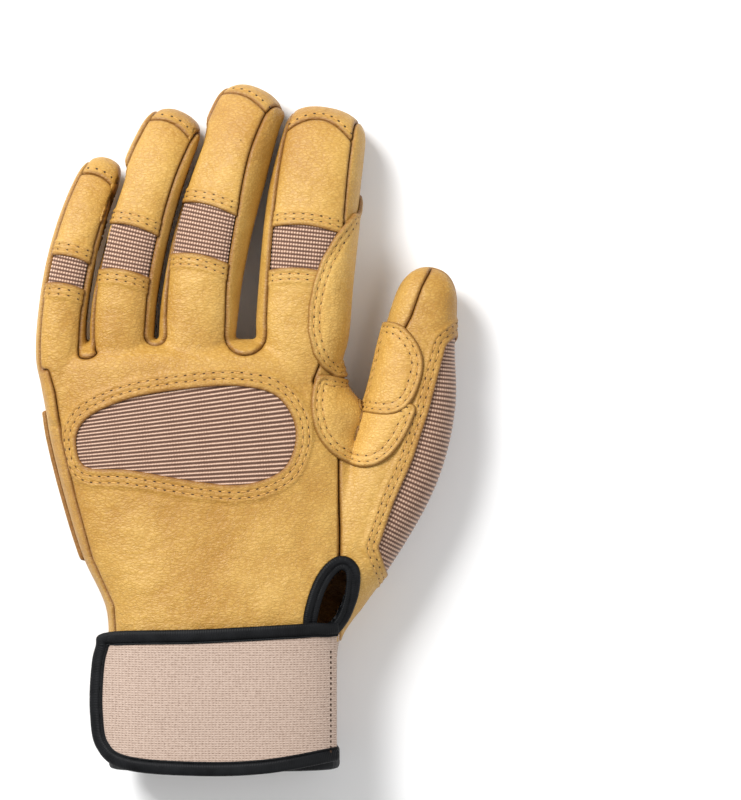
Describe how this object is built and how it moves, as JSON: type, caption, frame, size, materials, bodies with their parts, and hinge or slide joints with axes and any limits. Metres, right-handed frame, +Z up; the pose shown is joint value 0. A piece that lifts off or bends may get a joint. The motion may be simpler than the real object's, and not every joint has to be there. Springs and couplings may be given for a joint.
{
  "type": "climbing glove",
  "caption": "Left-hand leather climbing glove with ribbed stretch inserts over knuckles, fingers and thumb, a knitted cuff, closed wrist strap and carabiner hole.",
  "frame": {"origin": "on the surface that the glove rests on, below the middle of its box", "axes": "+Y along the hand to the fingertips, +X to the thumb side, +Z up out of the back of the hand"},
  "size_m": [0.1518, 0.248, 0.0413],
  "materials": {
    "tan_leather": "soft golden tan goatskin with a fine grain, satin, wrinkled near the seams",
    "patch_leather": "second layer of the same tan leather, double stitched",
    "ribbed_fabric": "taupe stretch fabric with fine raised ribs",
    "cuff_fabric": "pale taupe knitted fabric, matte",
    "black_binding": "folded black binding tape with a fine rib, matte"
  },
  "bodies": {
    "root": {"back_of_hand": "tan_leather", "palm_panel": "tan_leather", "knuckle_panel": "ribbed_fabric", "finger_insert_little": "ribbed_fabric", "finger_back_little": "tan_leather", "fingertip_cap_little": "tan_leather", "finger_pad_little": "tan_leather", "finger_insert_ring": "ribbed_fabric", "finger_back_ring": "tan_leather", "fingertip_cap_ring": "tan_leather", "finger_pad_ring": "tan_leather", "finger_insert_middle": "ribbed_fabric", "finger_back_middle": "tan_leather", "fingertip_cap_middle": "tan_leather", "finger_pad_middle": "tan_leather", "finger_insert_index": "ribbed_fabric", "finger_back_index": "tan_leather", "fingertip_cap_index": "tan_leather", "finger_pad_index": "tan_leather", "side_strip_little": "tan_leather", "fourchette_little_ring": "tan_leather", "fourchette_ring_middle": "tan_leather", "fourchette_middle_index": "tan_leather", "side_strip_index": "tan_leather", "thumb_back": "tan_leather", "thumb_front": "tan_leather", "thumb_panel": "ribbed_fabric", "palm_patch": "patch_leather", "index_side_patch": "patch_leather", "thumb_crotch_patch": "patch_leather", "thumb_inner_patch": "patch_leather", "vent_binding": "black_binding", "cuff_band": "cuff_fabric", "cuff_binding": "black_binding", "pull_tab": "tan_leather", "closure_strap": "cuff_fabric", "strap_binding": "black_binding"}
  },
  "joints": []
}
